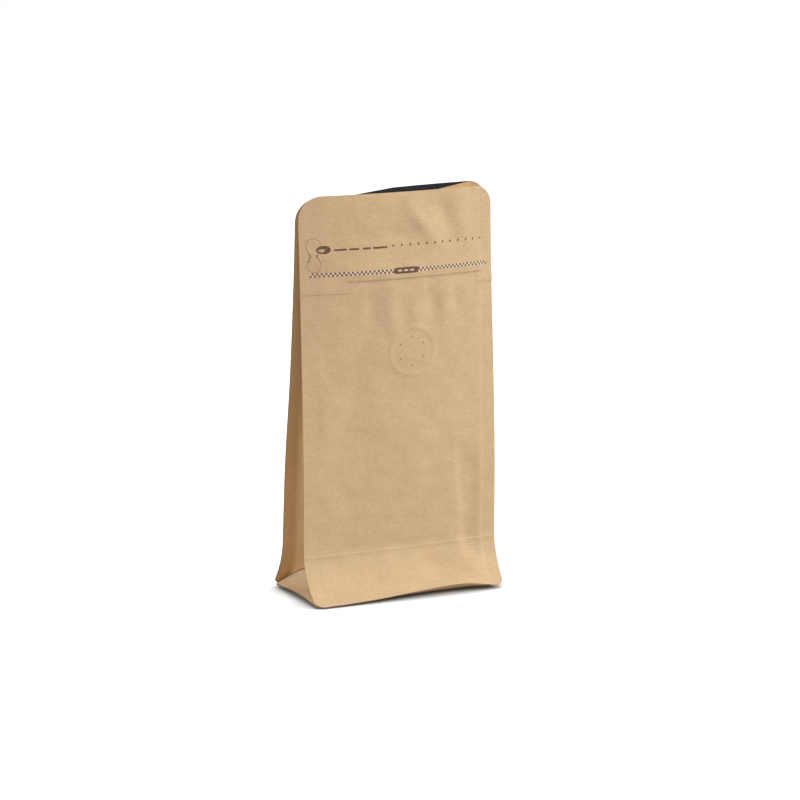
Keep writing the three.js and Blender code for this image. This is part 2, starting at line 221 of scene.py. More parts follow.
def front_relief(across, along):
    """Millimetres that the front sheet stands out from its smooth shape."""
    from_middle = np.abs(across)
    from_valve = np.hypot(across - VALVE_PLACE[0], along - VALVE_PLACE[1])
    valve = 0.42 * ridge(from_valve, VALVE_RING, 1.5) + 0.16 * smooth_step(13.0 - from_valve, 0, 2)
    ends = smooth_step(across, -44, -36) * smooth_step(62 - across, 0, 6)
    ledge = 0.85 * smooth_step(along, 210.2, 211.7) * smooth_step(232 - along, 0, 19) * ends
    tape = 0.3 * smooth_step(along, 203.0, 203.8) * smooth_step(214 - along, 0, 8)
    tape = tape * np.maximum(smooth_step(-36 - across, 0, 4), smooth_step(across, 53, 57))
    crease = 0.45 * ridge(along, CREASE + 0.5, 1.0)
    seam = 0.1 + 0.2 * smooth_step(across, -50, 50)
    seam = seam * smooth_step(SEAL_LINE + 0.5 - from_middle, 0, 1.4)
    rim = -0.35 * ridge(along, SEAL + 0.5, 1.6) * smooth_step(64 - from_middle, 0, 6)

    dents = sum(rise * bump(across, along, *dent) for rise, *dent in FRONT_DENTS)
    slant = across - (36.5 + (96 - along) * 0.075)
    facet = -1.1 * smooth_step(slant, -1.5, 6) * smooth_step(60 - across, 0, 14)
    facet = facet * smooth_step(along, 18, 40) * smooth_step(118 - along, 0, 40)
    waves = cockle(across, along, 7, 14, 0.10, (9, 30)) + cockle(across, along, 8, 10, 0.16, (30, 80))
    inside = smooth_step(SEAL_LINE + 2 - from_middle, 0, 9) * smooth_step(along, 0, 8)
    free = inside * (DENT_STRENGTH * dents + facet + waves)

    over_zipper = smooth_step(along, 200, 204) * smooth_step(236 - along, 0, 4)
    bonded = np.maximum(over_zipper, smooth_step(20 - from_valve, 0, 6))
    free = np.where(bonded > 0, free * (1 - bonded) + np.maximum(free, -0.3) * bonded, free)
    return free + valve + ledge + tape + crease + seam + rim


def outline_of(rows, columns):
    """Indices of a grid's outer edge, once round."""
    index = np.arange(rows * columns).reshape(rows, columns)
    return np.concatenate([index[0, :-1], index[:-1, -1], index[-1, :0:-1], index[:0:-1, 0]])


def sheet_object(name, outer, inner, places):
    """A thin sheet with an outer face, an inner face and a cut edge all round.
    places holds each point's millimetres across and along the sheet, kept as its UV map."""
    rows, columns = outer.shape[:2]
    count = rows * columns
    points = np.concatenate([outer.reshape(-1, 3), inner.reshape(-1, 3)]) * MM
    index = np.arange(count).reshape(rows, columns)
    quads = np.stack([index[:-1, :-1], index[:-1, 1:], index[1:, 1:], index[1:, :-1]], -1).reshape(-1, 4)
    edge = outline_of(rows, columns)
    after = np.roll(edge, -1)
    wall = np.stack([after, edge, edge + count, after + count], -1)
    faces = np.concatenate([quads, quads[:, ::-1] + count, wall])
    mesh = bpy.data.meshes.new(name)
    mesh.from_pydata(points.tolist(), [], faces.tolist())
    slots = np.concatenate([np.zeros(len(quads)), np.ones(len(quads)), np.full(len(wall), 2)])
    mesh.polygons.foreach_set("material_index", slots.astype(int))
    mesh.polygons.foreach_set("use_smooth", np.ones(len(faces), bool))
    flat = np.concatenate([places.reshape(-1, 2), places.reshape(-1, 2)]) * MM
    layer = mesh.uv_layers.new(name="sheet_place")
    layer.data.foreach_set("uv", flat[faces.reshape(-1)].reshape(-1))
    mesh.set_sharp_from_angle(angle=math.radians(60))
    mesh.update()
    piece = bpy.data.objects.new(name, mesh)
    bpy.context.scene.collection.objects.link(piece)
    return piece


def panel_sheet(name, side, step, columns, relief):
    """A panel as a sheet that stands out from its smooth shape by its relief."""
    rows = sheet_rows(step)[:, None]
    share = np.linspace(-1, 1, columns)[None, :]
    across = np.where(share < 0, share * half_width(-1, rows), share * half_width(1, rows))
    along = np.broadcast_to(rows, across.shape)
    normal = inward(side, across, along)
    outer = panel_point(side, across, along) - normal * relief(across, along)[..., None]
    inner = outer + normal * SHEET
    places = np.stack([across, along], -1)
    if side > 0:
        outer, inner, places = outer[:, ::-1], inner[:, ::-1], places[:, ::-1]
    return sheet_object(name, outer, inner, places)


def new_group(name, inputs, outputs):
    """An empty node group with named sockets; gives its tree, its input node and output node."""
    tree = bpy.data.node_groups.new(name, "ShaderNodeTree")
    for label, kind in inputs:
        tree.interface.new_socket(name=label, in_out="INPUT", socket_type=kind)
    for label, kind in outputs:
        tree.interface.new_socket(name=label, in_out="OUTPUT", socket_type=kind)
    return tree, tree.nodes.new("NodeGroupInput"), tree.nodes.new("NodeGroupOutput")


def use(tree, group):
    """A node that places the group in a tree."""
    node = tree.nodes.new("ShaderNodeGroup")
    node.node_tree = group
    return node


def put(tree, socket, value):
    """Links a socket to another, or sets it to a constant."""
    if isinstance(value, bpy.types.NodeSocket):
        tree.links.new(value, socket)
    else:
        socket.default_value = value


def calc(tree, operation, *values):
    """One math node on its values."""
    node = tree.nodes.new("ShaderNodeMath")
    node.operation = operation
    for socket, value in zip(node.inputs, values):
        put(tree, socket, value)
    return node.outputs[0]


def both(tree, *masks):
    """Where all the masks are 1."""
    result = masks[0]
    for mask in masks[1:]:
        result = calc(tree, "MULTIPLY", result, mask)
    return result


def either(tree, *masks):
    """Where any of the masks is 1."""
    result = masks[0]
    for mask in masks[1:]:
        result = calc(tree, "MAXIMUM", result, mask)
    return result


def outside(tree, mask):
    """Where the mask is 0."""
    return calc(tree, "SUBTRACT", 1.0, mask)


def away_from(tree, value, place):
    """How far a value lies from a place, to either side."""
    return calc(tree, "ABSOLUTE", calc(tree, "SUBTRACT", value, place))


def near(tree, value, place, reach):
    """1 where a value lies within a reach of a place."""
    return calc(tree, "LESS_THAN", away_from(tree, value, place), reach)


def bar(tree, across, along, place, half):
    """A plain rectangle, given by its middle and its half size."""
    return both(tree, near(tree, across, place[0], half[0]), near(tree, along, place[1], half[1]))


def length(tree, x, y):
    """Length of a line with these two sides."""
    squares = calc(tree, "ADD", calc(tree, "MULTIPLY", x, x), calc(tree, "MULTIPLY", y, y))
    return calc(tree, "SQRT", squares)


def distance(tree, across, along, place, stretch=1.0):
    """Distance to a place, with the direction along the sheet stretched."""
    x = calc(tree, "SUBTRACT", across, place[0])
    y = calc(tree, "MULTIPLY", calc(tree, "SUBTRACT", along, place[1]), stretch)
    return length(tree, x, y)


def mixed(tree, mask, first, second):
    """The second colour where the mask is 1, the first elsewhere."""
    node = tree.nodes.new("ShaderNodeMix")
    node.data_type = "RGBA"
    # Inputs 6 and 7 and output 2 are the node's colour sockets.
    put(tree, node.inputs[0], mask)
    put(tree, node.inputs[6], first)
    put(tree, node.inputs[7], second)
    return node.outputs[2]


NOISE_SHIFT = (190.37, 211.61, 53.29)


def noise(tree, place, repeats, detail):
    """Noise with so many repeats a unit of the place, along all axes alike or along each its own.
    It is shifted so that its zero lines, where its octaves line up, lie off the pieces."""
    if isinstance(repeats, float):
        repeats = (repeats, repeats, repeats)
    mapping = tree.nodes.new("ShaderNodeMapping")
    mapping.inputs["Location"].default_value = NOISE_SHIFT
    put(tree, mapping.inputs["Scale"], repeats)
    put(tree, mapping.inputs["Vector"], place)
    node = tree.nodes.new("ShaderNodeTexNoise")
    node.inputs["Scale"].default_value = 1.0
    put(tree, node.inputs["Detail"], detail)
    put(tree, node.inputs["Vector"], mapping.outputs[0])
    return node.outputs[0]


def sheet_place_group():
    """Millimetres across and along the sheet, and the same as a vector."""
    tree, _, out = new_group("sheet_place_mm", [], [
        ("Across", "NodeSocketFloat"), ("Along", "NodeSocketFloat"), ("Place", "NodeSocketVector")])
    source = tree.nodes.new("ShaderNodeUVMap")
    source.uv_map = "sheet_place"
    scale = tree.nodes.new("ShaderNodeVectorMath")
    scale.operation = "SCALE"
    scale.inputs["Scale"].default_value = 1 / MM
    split = tree.nodes.new("ShaderNodeSeparateXYZ")
    tree.links.new(source.outputs[0], scale.inputs[0])
    tree.links.new(scale.outputs[0], split.inputs[0])
    tree.links.new(split.outputs["X"], out.inputs["Across"])
    tree.links.new(split.outputs["Y"], out.inputs["Along"])
    tree.links.new(scale.outputs[0], out.inputs["Place"])
    return tree


def kraft_group():
    """Unbleached kraft paper: fine level fibres, cloudy pulp, sparse dark specks."""
    tree, given, out = new_group("kraft_paper", [
        ("Place", "NodeSocketVector"), ("Paper", "NodeSocketColor"), ("Fibre", "NodeSocketColor")], [
        ("Color", "NodeSocketColor"), ("Height", "NodeSocketFloat")])
    place = given.outputs["Place"]
    cloud = noise(tree, place, 0.09, 5)
    fibre = noise(tree, place, (0.33, 2.2, 1.1), 4)
    grain = noise(tree, place, 2.2, 3)
    mottle = calc(tree, "MULTIPLY", cloud, 0.18)
    for part, weight in ((fibre, 0.42), (grain, 0.40)):
        mottle = calc(tree, "ADD", mottle, calc(tree, "MULTIPLY", part, weight))
    level = tree.nodes.new("ShaderNodeMapRange")
    level.inputs["From Min"].default_value = 0.38
    level.inputs["From Max"].default_value = 0.62
    tree.links.new(mottle, level.inputs["Value"])
    base = mixed(tree, level.outputs[0], given.outputs["Paper"], given.outputs["Fibre"])
    speck = calc(tree, "GREATER_THAN", noise(tree, place, (0.9, 1.8, 0.9), 2), 0.735)
    specked = mixed(tree, calc(tree, "MULTIPLY", speck, 0.35), base, (0.22, 0.13, 0.06, 1))
    tree.links.new(specked, out.inputs["Color"])
    height = calc(tree, "MULTIPLY", calc(tree, "ADD", grain, fibre), 0.6)
    tree.links.new(height, out.inputs["Height"])
    return tree


SHEET_PLACE = sheet_place_group()
KRAFT_PAPER = kraft_group()


def new_material(name, color, roughness):
    """A material with its shader's colour and roughness set."""
    material = bpy.data.materials.new(name)
    material.use_nodes = True
    material.diffuse_color = color
    shader = material.node_tree.nodes["Principled BSDF"]
    shader.inputs["Base Color"].default_value = color
    shader.inputs["Roughness"].default_value = roughness
    return material, material.node_tree, shader


def roughen(tree, shader, height, strength, depth):
    """Shades a surface as if its height varied by a small depth in millimetres."""
    node = tree.nodes.new("ShaderNodeBump")
    node.inputs["Strength"].default_value = strength
    node.inputs["Distance"].default_value = depth * MM
    tree.links.new(height, node.inputs["Height"])
    tree.links.new(node.outputs[0], shader.inputs["Normal"])


def kraft_material(name, paper, fibre):
    """Brown paper side of the laminate; gives the material, its tree, shader, place and paper."""
    material, tree, shader = new_material(name, paper, 0.72)
    shader.inputs["Specular IOR Level"].default_value = 0.25
    place = use(tree, SHEET_PLACE)
    kraft = use(tree, KRAFT_PAPER)
    kraft.inputs["Paper"].default_value = paper
    kraft.inputs["Fibre"].default_value = fibre
    tree.links.new(place.outputs["Place"], kraft.inputs["Place"])
    tree.links.new(kraft.outputs["Color"], shader.inputs["Base Color"])
    roughen(tree, shader, kraft.outputs["Height"], strength=0.35, depth=0.06)
    return material, tree, shader, place, kraft


def film_material():
    """Black inner film of the laminate, with a soft sheen."""
    material, tree, shader = new_material("black_film", (0.035, 0.034, 0.038, 1), 0.38)
    ripple = noise(tree, use(tree, SHEET_PLACE).outputs["Place"], 0.12, 3)
    roughen(tree, shader, ripple, strength=0.3, depth=0.4)
    return material


def cut_edge_material():
    """Cut edge of the laminate: frayed paper, unevenly brown."""
    material, tree, shader = new_material("cut_edge", (0.42, 0.30, 0.18, 1), 0.8)
    fray = noise(tree, use(tree, SHEET_PLACE).outputs["Place"], 1.5, 2)
    shade = mixed(tree, fray, (0.30, 0.20, 0.11, 1), (0.5, 0.37, 0.23, 1))
    tree.links.new(shade, shader.inputs["Base Color"])
    return material


PAPER = (0.55, 0.375, 0.205, 1)
PALE_FIBRE = (0.68, 0.49, 0.29, 1)
FILM = film_material()
CUT_EDGE = cut_edge_material()
STRIP_ALONG = 215.7
ARROWS_ALONG = 231.7


def checked_strip(tree, across, up):
    """The strip of small checks; gives its dark checks and its pale ones."""
    check = 1.4
    strip = bar(tree, across, up, (0.8, 0.0), (62.3, 1.25))
    column = calc(tree, "FLOOR", calc(tree, "DIVIDE", across, check))
    row = calc(tree, "FLOOR", calc(tree, "DIVIDE", up, check))
    parity = calc(tree, "MODULO", calc(tree, "ABSOLUTE", calc(tree, "ADD", column, row)), 2.0)
    return both(tree, strip, near(tree, parity, 1.0, 0.5)), both(tree, strip, near(tree, parity, 0.0, 0.5))


def round_plate(tree, across, up):
    """The round-ended plate in the strip's middle; gives the plate and the three bars on it."""
    middle, half, radius = 1.4, 6.8, 2.0
    past_end = calc(tree, "MAXIMUM", calc(tree, "SUBTRACT", away_from(tree, across, middle), half), 0.0)
    plate = calc(tree, "LESS_THAN", length(tree, past_end, up), radius)
    bars = [bar(tree, across, up, (middle + shift, 0.0), (1.3, 0.5)) for shift in (-4.2, 0.0, 4.2)]
    return plate, either(tree, *bars)


def arrow_row(tree, across, along):
    """Evenly set small arrowheads that point to the right."""
    pitch, first, lead = 5.85, -6.4, 1.0
    half, steepness = 0.75, 0.75
    shifted = calc(tree, "ADD", calc(tree, "SUBTRACT", across, first), lead)
    local = calc(tree, "SUBTRACT", calc(tree, "MODULO", shifted, pitch), lead)
    slope = calc(tree, "MULTIPLY", calc(tree, "SUBTRACT", half, local), steepness)
    head = calc(tree, "LESS_THAN", away_from(tree, along, ARROWS_ALONG), slope)
    return both(tree, head, calc(tree, "GREATER_THAN", local, -half), near(tree, across, 25.8, 33.6))


def tear_tab(tree, across, along):
    """The tear tab's die-cut line: the joined outline of an upper and a lower round lobe."""
    upper = calc(tree, "SUBTRACT", distance(tree, across, along, (-58.6, 234.2)), 4.5)
    lower = calc(tree, "SUBTRACT", distance(tree, across, along, (-58.6, 221.6)), 4.1)
    waist = 14.0
    joined = calc(tree, "SMOOTH_MIN", upper, lower, waist)
    return near(tree, joined, 0.0, 0.18)


def print_group():
    """What is printed or cut on the front panel: dark ink, pale ink and the tear tab's cut line."""
    tree, given, out = new_group("front_print", [
        ("Across", "NodeSocketFloat"), ("Along", "NodeSocketFloat")], [
        ("Ink", "NodeSocketFloat"), ("Pale", "NodeSocketFloat"), ("Cut", "NodeSocketFloat")])
    across = given.outputs["Across"]
    along = given.outputs["Along"]
    up = calc(tree, "SUBTRACT", along, STRIP_ALONG)
    dark_checks, pale_checks = checked_strip(tree, across, up)
    plate, plate_bars = round_plate(tree, across, up)
    bars = [bar(tree, across, along, (middle, 231.0), (half, 0.62))
            for middle, half in ((-41.7, 4.1), (-32.8, 3.2), (-24.6, 2.6), (-15.6, 4.8))]
    blob = calc(tree, "LESS_THAN", distance(tree, across, along, (-52.4, 231.4), 1.75), 4.6)
    gap = calc(tree, "LESS_THAN", distance(tree, across, along, (-53.6, 231.0), 2.4), 2.3)
    pull_mark = both(tree, blob, outside(tree, gap))
    notch = bar(tree, across, along, (-61.6, 224.4), (1.2, 0.22))
    tick = bar(tree, across, along, (-52.0, 224.6), (1.9, 0.17))

    dark_strip = both(tree, either(tree, dark_checks, plate), outside(tree, plate_bars))
    ink = either(tree, dark_strip, arrow_row(tree, across, along), pull_mark, notch, *bars)
    pale = either(tree, both(tree, pale_checks, outside(tree, plate)), both(tree, plate, plate_bars))
    tree.links.new(ink, out.inputs["Ink"])
    tree.links.new(pale, out.inputs["Pale"])
    tree.links.new(either(tree, tear_tab(tree, across, along), tick), out.inputs["Cut"])
    return tree


def pinhole_group():
    """Six needle holes on a circle over the valve."""
    tree, given, out = new_group("valve_pinholes", [
        ("Across", "NodeSocketFloat"), ("Along", "NodeSocketFloat")], [("Hole", "NodeSocketFloat")])
    middle = (5.6, 163.8)
    circle = 9.2
    holes = []
    for i in range(6):
        angle = math.radians(30 + 60 * i)
        place = (middle[0] + circle * math.cos(angle), middle[1] + circle * math.sin(angle))
        away = distance(tree, given.outputs["Across"], given.outputs["Along"], place)
        holes.append(calc(tree, "LESS_THAN", away, 0.42))
    tree.links.new(either(tree, *holes), out.inputs["Hole"])
    return tree


def front_material():
    """Kraft with its printing, scuffed pale along the crease and the right seam, with a painted
    highlight along the zipper's lower edge, and painted shade just under that edge and under the
    ends of its tape."""
    material, tree, shader, place, kraft = kraft_material("kraft_printed", PAPER, PALE_FIBRE)
    printed = use(tree, print_group())
    holes = use(tree, pinhole_group())
    across = place.outputs["Across"]
    along = place.outputs["Along"]
    for node in (printed, holes):
        tree.links.new(across, node.inputs["Across"])
        tree.links.new(along, node.inputs["Along"])
    worn = calc(tree, "MULTIPLY", noise(tree, place.outputs["Place"], 1.4, 2), 0.5)
    worn = calc(tree, "MINIMUM", calc(tree, "ADD", worn, 0.6), 0.92)
    fold = near(tree, along, CREASE + 0.6, 0.3)
    low = calc(tree, "MULTIPLY", calc(tree, "LESS_THAN", along, 44.0), 0.45)
    seam = both(tree, near(tree, across, SEAL_LINE + 0.2, 0.22), calc(tree, "ADD", low, 0.3))
    # Painted highlight: a pale bar on the crest of the zipper's lower edge, where light falls on its raised
    # lip.
    zipper_edge_highlight = bar(tree, across, along, (9.0, 212.0), (50.0, 0.3))
    patchy = calc(tree, "MULTIPLY", noise(tree, place.outputs["Place"], 0.12, 4), 0.95)
    # Pale where the paper is scuffed at the crease and the right seam, plus the painted highlight at the
    # zipper's edge.
    rubbed_and_highlit = both(tree, either(tree, fold, seam, zipper_edge_highlight), patchy)
    # Painted shade: dark lines just under the zipper's lower edge and under the steps at the ends of its
    # tape.
    under_edge_shade = bar(tree, across, along, (11.0, 210.3), (48.0, 0.3))
    tape_end_shades = [bar(tree, across, along, (middle, 203.2), (half, 0.2))
                 for middle, half in ((-51.0, 15.5), (61.5, 5.5))]
    shaded = either(tree, under_edge_shade, *tape_end_shades)

    color = mixed(tree, both(tree, printed.outputs["Ink"], worn), kraft.outputs["Color"],
                  (0.085, 0.028, 0.022, 1))
    # Layers: pale ink, the die cut, the pinholes, scuffed paper with the painted highlight, then painted
    # shade.
    for mask, strength, second in (
            (printed.outputs["Pale"], 0.45, (0.86, 0.76, 0.66, 1)),
            (printed.outputs["Cut"], 0.75, (0.20, 0.14, 0.09, 1)),
            (holes.outputs["Hole"], 0.85, (0.12, 0.07, 0.035, 1)),
            (rubbed_and_highlit, 1.0, (0.78, 0.62, 0.43, 1)),
            (shaded, 0.38, (0.20, 0.13, 0.07, 1))):
        color = mixed(tree, calc(tree, "MULTIPLY", mask, strength), color, second)
    tree.links.new(color, shader.inputs["Base Color"])
    return material


def hand_over(piece, materials):
    """The piece stands for the frame's bag and carries the laminate's finish."""
    for material in materials:
        piece.data.materials.append(material)
    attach(piece, "root")
    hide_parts("bag")


front = panel_sheet("front_panel", side=-1, step=1.4, columns=109, relief=front_relief)
hand_over(front, [front_material(), FILM, CUT_EDGE])


# ------------------------------------------------------------------ back panel
# The same kraft laminate without printing: a plain sheet with round corners, creased near its
# foot and heat-sealed to the gussets and the base like the front. Its mouth sags at the left.

BACK_LIFT = 2.0
PLAIN_KRAFT = kraft_material("kraft_plain", PAPER, PALE_FIBRE)[0]
BACK_DENTS = (
    (0.8, (-15, 190), (12, 30), 10),
    (-0.8, (22, 140), (14, 40), -8),
)


def back_dip(across, along):
    """How far the back panel's mouth sags left of its middle."""
    return 2.3 * np.clip((along - 215) / 50, 0, 1) ** 2 * np.clip((2 - across) / 27, 0, 1)


PANELS[1] = panel_shape(
    places={"left": (34, 18.8, 14.9, 7, 1.3, -1.5), "right": (34, 20.5, 14.5, 6, 0.8, -1.5)},
    rises={"left": -1.8, "right": 3.6},
    bow=(0.5, 2, 3, 3.5, 3, 3),
    foot_lift=lambda across: BACK_LIFT,
    mouth_dip=back_dip,
)


def back_relief(across, along):
    """Millimetres that the back sheet stands out from its smooth shape."""
    from_middle = np.abs(across)
    crease = 0.25 * ridge(along, CREASE + 0.5, 0.7)
    seam = 0.22 * smooth_step(SEAL_LINE + 0.5 - from_middle, 0, 1.2)
    waves = cockle(across, along, 21, 14, 0.10, (9, 30)) + cockle(across, along, 22, 8, 0.3, (40, 90))
    dents = sum(rise * bump(across, along, *dent) for rise, *dent in BACK_DENTS)
    inside = smooth_step(SEAL_LINE + 2 - from_middle, 0, 9) * smooth_step(along, 0, 8)
    return crease + seam + inside * (waves + dents)


back = panel_sheet("back_panel", side=1, step=2.2, columns=73, relief=back_relief)
hand_over(back, [PLAIN_KRAFT, FILM, CUT_EDGE])


# ------------------------------------------------------------------ side gussets
# One V-folded kraft sheet at each side, heat-sealed to both panels along its edges. Near the floor
# it opens into a triangle, folded outward along two diagonals and sealed to the base's short edge.

GUSSET = 75.0
ROOT_DEPTH = 2 * SHEET + 0.02
EDGE_GAP = 0.25
FOLD_TUCK = 28.0
FOLD_SAG = 3.0
LEAST_FOLD = 5.0
FOOT_DIP = 8.0
FOOT_CREASE = 0.7
CORNER_GAP = (0.9, 3.0)
BASE_RIM = 12.5
BASE_HALF_DEPTH = 34.5
SIDE_CURL = 3.5


def base_height(across, back_place):
    """Height of the base's lower face over the floor, curled up along its four edges."""
    def curl(away):
        return np.clip(1 - away / BASE_RIM, 0, 1) ** 1.25

    front_edge = panel_point(-1, across, 0)[..., 1]
    back_edge = panel_point(1, across, 0)[..., 1]
    front_curl = curl(back_place - front_edge) * (front_lift(across) - SHEET)
    back_curl = curl(back_edge - back_place) * (BACK_LIFT - SHEET)
    middle = np.maximum(0, 1 - (back_place / BASE_HALF_DEPTH) ** 2)
    return front_curl + back_curl + curl(WIDTH / 2 - np.abs(across)) * SIDE_CURL * middle


def inside_panel(side, across, along, depth):
    """A point so deep behind a panel's outer face."""
    return panel_point(side, across, along) + inward(side, across, along) * depth


def seal_line(hand, along):
    """Where the gusset leaves the sealed margin; near the base it does so on a diagonal."""
    return SEAL_LINE if along >= SEAL else half_width(hand, along) - EDGE_GAP - along


def gusset_corner(side, hand):
    """Where a diagonal fold meets the base's corner."""
    across = hand * (WIDTH / 2 - CORNER_GAP[0])
    place = panel_point(side, across, 0)[1] - side * CORNER_GAP[1]
    return np.array([across, place, base_height(across, place) + 2 * SHEET])


def fold_point(hand, along):
    """The middle fold of the gusset, as deep as the free width of its halves allows."""
    front_root = inside_panel(-1, hand * seal_line(hand, along), along, ROOT_DEPTH)
    back_root = inside_panel(1, hand * seal_line(hand, along), along, ROOT_DEPTH)
    free = GUSSET / 2 - SEAL
    opening = (back_root[1] - front_root[1]) / 2
    depth = math.sqrt(max(free ** 2 - opening ** 2, LEAST_FOLD ** 2))
    middle = (front_root + back_root) / 2
    share = (along - CREASE) / (HEIGHT - CREASE)
    drop = (middle[2] - FOLD_TUCK) * (1 - share) ** 2 + FOLD_SAG * share
    return middle + np.array([-hand * depth, 0, -drop])


def gusset_half(side, hand, along):
    """Points of one level of a gusset's half, from the sealed margin to the half's fold."""
    margin_points, free_points = 5, 16
    margin = seal_line(hand, along)
    limit = half_width(hand, along) - EDGE_GAP
    if along >= CREASE:
        end = fold_point(hand, along)
    else:
        corner = gusset_corner(side, hand)
        end = corner + (fold_point(hand, CREASE) - corner) * along / CREASE
    root = inside_panel(side, hand * margin, along, ROOT_DEPTH)
    past = margin - limit
    if past > 0:
        root = root + (end - root) * past / abs(root[0] - end[0])
        strip = np.repeat(root[None], margin_points, 0)
    else:
        across = hand * np.linspace(limit, margin, margin_points)
        strip = inside_panel(side, across, np.full(margin_points, along), ROOT_DEPTH)
    share = np.linspace(0, 1, free_points)[1:-1, None]
    return np.concatenate([strip, root + (end - root) * share]), end


def gusset_row(hand, along):
    """Points of one level of the gusset, from the front margin to the back margin."""
    front_half, front_end = gusset_half(-1, hand, along)
    back_half, back_end = gusset_half(1, hand, along)
    share = np.linspace(0, 1, 25)
    foot = front_end + (back_end - front_end) * share[:, None]
    if along < CREASE:
        rise = along / CREASE
        front_corner = gusset_corner(-1, hand)
        edge = front_corner + (gusset_corner(1, hand) - front_corner) * share[:, None]
        arch = base_height(edge[:, 0], edge[:, 1]) + 2 * SHEET - edge[:, 2]
        dip = 4 * share * (1 - share) * FOOT_DIP * math.sin(math.pi * rise)
        crease = FOOT_CREASE * ridge(share, 0.5, 0.03) * (1 - rise) * min(1, along / 4)
        foot[:, 2] += arch * (1 - rise) - dip - crease
    return np.concatenate([front_half, foot, back_half[::-1]])


def gusset_material():
    """The same kraft in warmer, deeper colours: painted warm shade inside its own fold. Painted light
    falls on its bottom triangle, and painted shade in the creases along the two diagonals and in a
    short one up from the base at the middle."""
    # Warmer, redder paper than the panels: painted warm shade, the look of light bounced inside the
    # gusset's fold.
    shade_warmed_paper = (0.62, 0.395, 0.19, 1)
    shade_warmed_fibre = (0.72, 0.48, 0.25, 1)
    triangle_half = 33.5
    material, tree, shader, place, kraft = kraft_material("kraft_gusset", shade_warmed_paper, shade_warmed_fibre)
    along = place.outputs["Along"]
    across = calc(tree, "ABSOLUTE", place.outputs["Across"])
    climbed = calc(tree, "MULTIPLY", along, triangle_half / CREASE)
    beyond = calc(tree, "SUBTRACT", across, calc(tree, "SUBTRACT", triangle_half, climbed))
    below = calc(tree, "LESS_THAN", along, CREASE)
    triangle = both(tree, calc(tree, "LESS_THAN", beyond, 0.0), below)
    # Painted shade: dark lines in the creases along the two diagonals and up the triangle's middle.
    middle = both(tree, near(tree, across, 0.0, 0.32), calc(tree, "LESS_THAN", along, 13.0))
    diagonal = both(tree, near(tree, beyond, 0.8, 1.1), below)
    crease_shade = either(tree, middle, diagonal)
    # Painted light: the bottom triangle faces up and is made paler, as if lit from above.
    painted_light_on_triangle = calc(tree, "MULTIPLY", triangle, 0.55)
    pale = mixed(tree, painted_light_on_triangle, kraft.outputs["Color"], (0.86, 0.66, 0.44, 1))
    shade = mixed(tree, calc(tree, "MULTIPLY", crease_shade, 0.6), pale, (0.16, 0.09, 0.045, 1))
    tree.links.new(shade, shader.inputs["Base Color"])
    return material


def gusset_sheet(name, hand):
    """The left (hand -1) or right (hand 1) gusset, softly uneven between its margins."""
    rows = sheet_rows(2.2)
    outer = np.array([gusset_row(hand, along) for along in rows])
    steps = np.linalg.norm(np.diff(outer, axis=1), axis=2)
    across = np.concatenate([np.zeros((len(rows), 1)), np.cumsum(steps, 1)], 1)
    across -= across[:, -1:] / 2
    places = np.stack([across, np.broadcast_to(rows[:, None], across.shape)], -1)
    normal = np.cross(np.gradient(outer, axis=1), np.gradient(outer, axis=0))
    size = np.linalg.norm(normal, axis=2, keepdims=True)
    normal = np.where(size > 1e-6, normal / np.maximum(size, 1e-6), 0) * hand
    wave = cockle(across, places[..., 1], 31 + hand, 10, 0.22, (14, 60))
    free = smooth_step(GUSSET / 2 - SEAL - np.abs(across), 0, 8) * smooth_step(places[..., 1], 4, 20)
    outer = outer - normal * (free * (wave + 0.25))[..., None]
    inner = outer - normal * SHEET
    if hand < 0:
        outer, inner, places = outer[:, ::-1], inner[:, ::-1], places[:, ::-1]
    return sheet_object(name, outer, inner, places)


GUSSET_KRAFT = gusset_material()
for name, hand in (("left_gusset", -1), ("right_gusset", 1)):
    hand_over(gusset_sheet(name, hand), [GUSSET_KRAFT, FILM, CUT_EDGE])


# ------------------------------------------------------------------ base
# A rectangular kraft sheet, flat on the floor inside its heat-sealed rim, which curls up all round
# to meet the feet of the panels and gussets.

BASE_DEPTH = 69.5
BASE_EDGE_GAP = 0.15


def base_sheet():
    """The base, with both faces shaped by the feet it is sealed to."""
    rows = np.linspace(0, 1, 47)[:, None]
    share = np.linspace(-1, 1, 91)[None, :]
    from_edge = np.minimum(rows, 1 - rows) * BASE_DEPTH
    across = share * (half_width(1, from_edge) - EDGE_GAP)
    front_edge = panel_point(-1, across, 0)[..., 1] + BASE_EDGE_GAP
    back_edge = panel_point(1, across, 0)[..., 1] - BASE_EDGE_GAP
    place = front_edge + (back_edge - front_edge) * rows
    lower = np.stack([across, place, base_height(across, place)], -1)
    upper = lower + np.array([0, 0, SHEET])
    places = np.stack([across, place], -1)
    return sheet_object("base", lower[::-1], upper[::-1], places[::-1])


hand_over(base_sheet(), [PLAIN_KRAFT, FILM, CUT_EDGE])


# ------------------------------------------------------------------ valve
# One-way degassing valve: a dark moulded plastic disc with a shallow cup, welded behind the front
# panel over its six pinholes. The frame's own shape is kept and gets a finer finish.

def plastic_grain_group():
    """Fine unevenness of a plastic face, with its repeats a metre along each axis."""
    tree, given, out = new_group("plastic_grain", [
        ("Place", "NodeSocketVector"), ("Repeats", "NodeSocketVector"), ("Detail", "NodeSocketFloat")], [
        ("Height", "NodeSocketFloat")])
    grain = noise(tree, given.outputs["Place"], given.outputs["Repeats"], given.outputs["Detail"])
    tree.links.new(grain, out.inputs["Height"])
    return tree


PLASTIC_GRAIN = plastic_grain_group()


